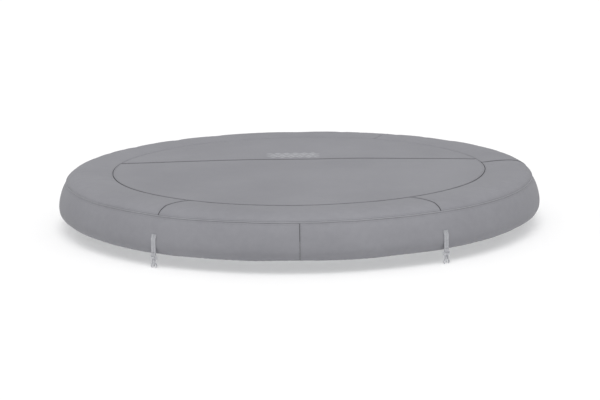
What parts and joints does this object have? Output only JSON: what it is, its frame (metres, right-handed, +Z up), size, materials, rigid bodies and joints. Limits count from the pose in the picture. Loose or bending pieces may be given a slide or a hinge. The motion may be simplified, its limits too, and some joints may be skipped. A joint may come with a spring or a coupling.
{
  "type": "inflatable hot tub cover",
  "caption": "Round padded cover for an inflatable hot tub: sewn cloth shell with a skirt, zipped liner, air-filled lid inside, and hold-down straps with clips.",
  "frame": {"origin": "centre of the flat underside liner, the face that rests on the tub's top rim", "axes": "+Z up out of the cover's crown, -Y towards the front, where the skirt's seam is, +X to the right seen from the front"},
  "size_m": [1.96, 1.9652, 0.227],
  "materials": {
    "cover_cloth": "matt coated cloth",
    "piping": "matt",
    "liner_foil": "silvery coated film on cloth",
    "zip_tape": "woven tape",
    "zip_plastic": "moulded coil",
    "zip_metal": "plated die casting",
    "lid_vinyl": "soft vinyl sheet",
    "valve_plastic": "moulded",
    "webbing": "woven webbing",
    "clip_plastic": "moulded, slightly glossy"
  },
  "bodies": {
    "cover": {"centre_front_panel": "cover_cloth", "centre_rear_panel": "cover_cloth", "shoulder_front_panel": "cover_cloth", "shoulder_right_panel": "cover_cloth", "shoulder_rear_panel": "cover_cloth", "shoulder_left_panel": "cover_cloth", "skirt_right_panel": "cover_cloth", "skirt_left_panel": "cover_cloth", "edge_piping": "piping", "underside_liner": "liner_foil", "zip_front_tape": "zip_tape", "zip_rear_tape": "zip_tape", "zip_coil": "zip_plastic", "zip_end_stops": "zip_plastic", "lid_top_sheet": "lid_vinyl", "lid_side_wall": "lid_vinyl", "lid_bottom_sheet": "lid_vinyl", "lid_tie_webs": "lid_vinyl", "lid_valve_body": "valve_plastic", "strap_anchor_1": "webbing", "strap_anchor_2": "webbing", "strap_anchor_3": "webbing", "strap_anchor_4": "webbing", "strap_anchor_5": "webbing"},
    "zip_slider": {"zip_slider": "zip_metal"},
    "zip_pull": {"zip_pull": "zip_metal"},
    "valve_cap": {"lid_valve_cap": "valve_plastic"},
    "strap_1": {"strap_1": "webbing"},
    "clip_1": {"clip_1": "clip_plastic"},
    "strap_2": {"strap_2": "webbing"},
    "clip_2": {"clip_2": "clip_plastic"},
    "strap_3": {"strap_3": "webbing"},
    "clip_3": {"clip_3": "clip_plastic"},
    "strap_4": {"strap_4": "webbing"},
    "clip_4": {"clip_4": "clip_plastic"},
    "strap_5": {"strap_5": "webbing"},
    "clip_5": {"clip_5": "clip_plastic"}
  },
  "joints": [
    {"name": "zip_travel", "type": "slide", "parent": "cover", "child": "zip_slider", "axis": [1, 0, 0], "range_m": [0, 0.872]},
    {"name": "zip_pull_swing", "type": "hinge", "parent": "zip_slider", "child": "zip_pull", "pos_m": [-0.436, 0.45, -0.0062], "axis": [0, 1, 0], "range_deg": [-80, 80]},
    {"name": "valve_cap_turn", "type": "hinge", "parent": "cover", "child": "valve_cap", "pos_m": [0, 0.45, 0.003], "axis": [0, 0, 1], "range_deg": [0, 270]},
    {"name": "strap_1_lift", "type": "hinge", "parent": "cover", "child": "strap_1", "pos_m": [-0.54195, -0.81879, -0.0125], "axis": [-0.8339, 0.5519, 0], "range_deg": [0, 130]},
    {"name": "clip_1_swing", "type": "hinge", "parent": "strap_1", "child": "clip_1", "pos_m": [-0.54195, -0.81879, -0.0785], "axis": [-0.8339, 0.5519, 0], "range_deg": [-70, 80]},
    {"name": "strap_2_lift", "type": "hinge", "parent": "cover", "child": "strap_2", "pos_m": [0.54195, -0.81879, -0.0125], "axis": [-0.8339, -0.5519, 0], "range_deg": [0, 130]},
    {"name": "clip_2_swing", "type": "hinge", "parent": "strap_2", "child": "clip_2", "pos_m": [0.54195, -0.81879, -0.0785], "axis": [-0.8339, -0.5519, 0], "range_deg": [-70, 80]},
    {"name": "strap_3_lift", "type": "hinge", "parent": "cover", "child": "strap_3", "pos_m": [0.939, 0.28708, -0.0125], "axis": [0.2924, -0.9563, 0], "range_deg": [0, 130]},
    {"name": "clip_3_swing", "type": "hinge", "parent": "strap_3", "child": "clip_3", "pos_m": [0.939, 0.28708, -0.0785], "axis": [0.2924, -0.9563, 0], "range_deg": [-70, 80]},
    {"name": "strap_4_lift", "type": "hinge", "parent": "cover", "child": "strap_4", "pos_m": [0, 0.9819, -0.0125], "axis": [1, 0, 0], "range_deg": [0, 130]},
    {"name": "clip_4_swing", "type": "hinge", "parent": "strap_4", "child": "clip_4", "pos_m": [0, 0.9819, -0.0785], "axis": [1, 0, 0], "range_deg": [-70, 80]},
    {"name": "strap_5_lift", "type": "hinge", "parent": "cover", "child": "strap_5", "pos_m": [-0.939, 0.28708, -0.0125], "axis": [0.2924, 0.9563, 0], "range_deg": [0, 130]},
    {"name": "clip_5_swing", "type": "hinge", "parent": "strap_5", "child": "clip_5", "pos_m": [-0.939, 0.28708, -0.0785], "axis": [0.2924, 0.9563, 0], "range_deg": [-70, 80]}
  ]
}
